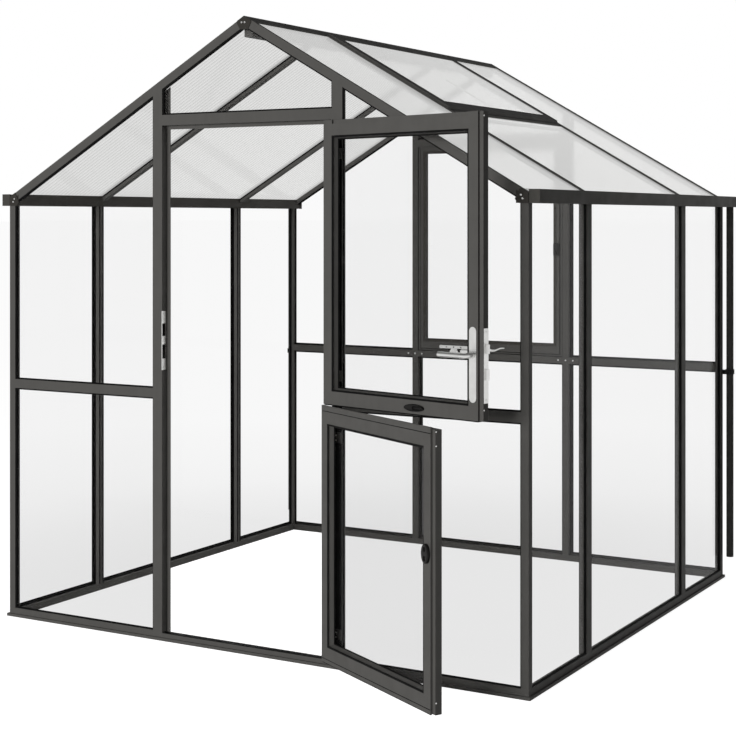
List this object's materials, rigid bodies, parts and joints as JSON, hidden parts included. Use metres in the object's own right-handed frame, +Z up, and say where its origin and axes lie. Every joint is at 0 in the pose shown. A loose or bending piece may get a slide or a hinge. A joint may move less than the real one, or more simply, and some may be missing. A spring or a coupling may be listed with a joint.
{
  "type": "glass greenhouse with a stable door",
  "caption": "Small apex glass greenhouse: dark metal frame, clear walls, twin-wall roof with a vent, and a stable door whose two leaves turn on side hinges",
  "frame": {"origin": "under the middle of the front base rail, on the plane of the frame's front face", "axes": "+X along the front towards the door's hinge side, +Y into the greenhouse, +Z up"},
  "size_m": [2.3694, 2.606, 2.3483],
  "materials": {
    "frame": "satin dark grey powder coat",
    "glass": "clear",
    "roof_sheet": "translucent white twin-wall sheet",
    "bright_metal": "satin",
    "black_plastic": "semi gloss",
    "black_rubber": "matt"
  },
  "bodies": {
    "building": {"back_bars": "frame", "back_glass": "glass", "back_mid_rail": "frame", "back_posts": "frame", "back_rafters": "frame", "base_back": "frame", "base_front": "frame", "base_sides": "frame", "corner_plates": "frame", "door_header": "frame", "door_jambs": "frame", "downpipes": "frame", "eaves_beams": "frame", "front_glass": "glass", "front_mid_rails": "frame", "front_posts": "frame", "front_rafters": "frame", "gutters": "frame", "jamb_hinges": "frame", "pipe_clips": "frame", "ridge_beam": "frame", "roof_bars": "frame", "roof_sheets": "roof_sheet", "side_bars": "frame", "side_glass": "glass", "strike_plate": "bright_metal", "vent_frame": "frame", "vent_sheet": "roof_sheet", "vent_stay": "bright_metal", "vent_trimmer": "frame", "window_fittings": "bright_metal", "window_frame": "black_rubber", "window_glass": "glass", "window_header": "frame", "window_sash": "frame"},
    "upper_door": {"upper_stiles": "frame", "upper_rails": "frame", "upper_beads": "frame", "upper_glass": "glass", "upper_hinges": "frame", "handle_plates": "bright_metal", "upper_lock": "bright_metal", "upper_grip": "black_plastic"},
    "lower_door": {"lower_stiles": "frame", "lower_rails": "frame", "lower_beads": "frame", "lower_glass": "glass", "lower_hinges": "frame", "lower_strips": "frame", "lower_grip": "black_plastic"},
    "lever": {"lever_handle": "bright_metal"}
  },
  "joints": [
    {"name": "upper_door_hinge", "type": "hinge", "parent": "building", "child": "upper_door", "pos_m": [0.371, -0.004, 1.45], "axis": [0, 0, 1], "range_deg": [-165.9, 4.1]},
    {"name": "lower_door_hinge", "type": "hinge", "parent": "building", "child": "lower_door", "pos_m": [0.371, -0.004, 0.49], "axis": [0, 0, 1], "range_deg": [-150.4, 19.6]},
    {"name": "lever_turn", "type": "hinge", "parent": "upper_door", "child": "lever", "pos_m": [1.04242, -0.19327, 1.158], "axis": [-0.2436, -0.9699, 0], "range_deg": [0, 40], "stiffness_Nm_per_rad": 0.8, "springref_deg": -34.38}
  ]
}
